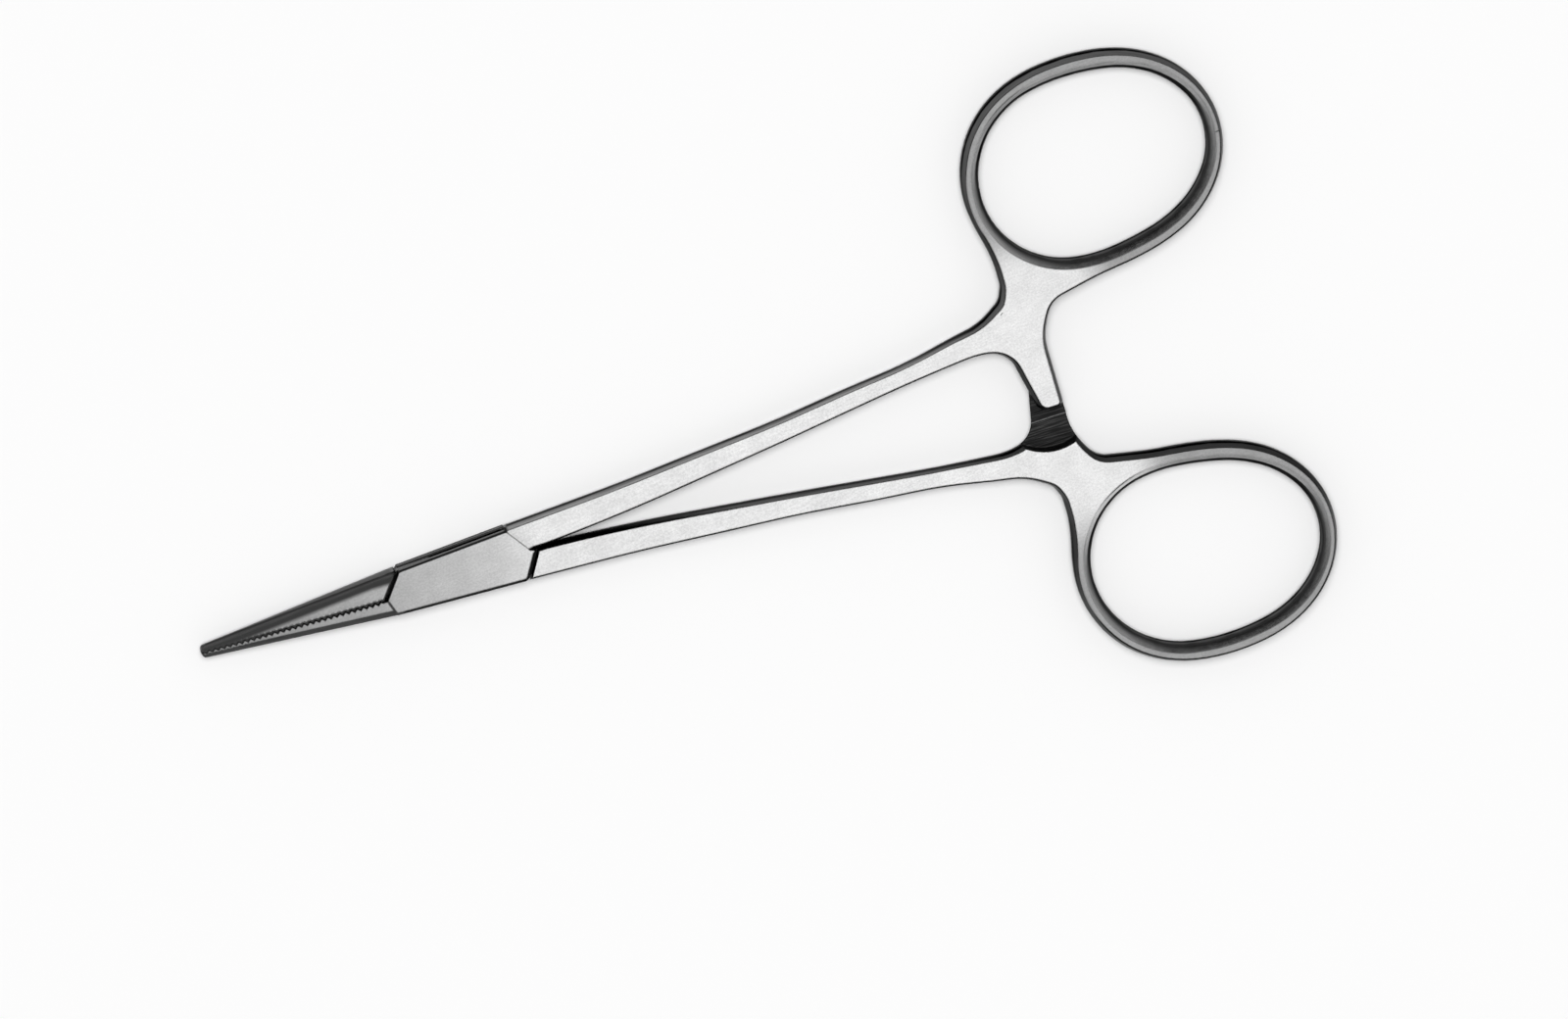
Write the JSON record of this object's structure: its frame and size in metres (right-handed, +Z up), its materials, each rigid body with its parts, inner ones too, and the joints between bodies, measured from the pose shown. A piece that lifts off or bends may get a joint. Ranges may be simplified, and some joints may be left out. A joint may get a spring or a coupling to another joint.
{
  "type": "hemostatic forceps",
  "caption": "Straight mosquito forceps with serrated tapering jaws, a box lock, slim shanks, a ratchet catch and oval finger rings, closed and lying on its side.",
  "frame": {"origin": "on the hinge pin's axis, at the plane on which the instrument lies", "axes": "+X along the instrument from the pin towards the finger rings, +Y across it towards the box arm's ring, +Z up out of the flat side"},
  "size_m": [0.1251, 0.0708, 0.004],
  "materials": {
    "box_arm_steel": "satin-ground stainless steel",
    "tenon_arm_steel": "satin-ground stainless steel",
    "pin_steel": "stainless pin ground flush"
  },
  "bodies": {
    "box_side": {"box_arm": "box_arm_steel", "lock_pin": "pin_steel"},
    "tenon_side": {"tenon_arm": "tenon_arm_steel"}
  },
  "joints": [
    {"name": "box_lock", "type": "hinge", "parent": "box_side", "child": "tenon_side", "pos_m": [0, 0, 0.002], "axis": [0, 0, -1], "range_deg": [0, 90]}
  ]
}
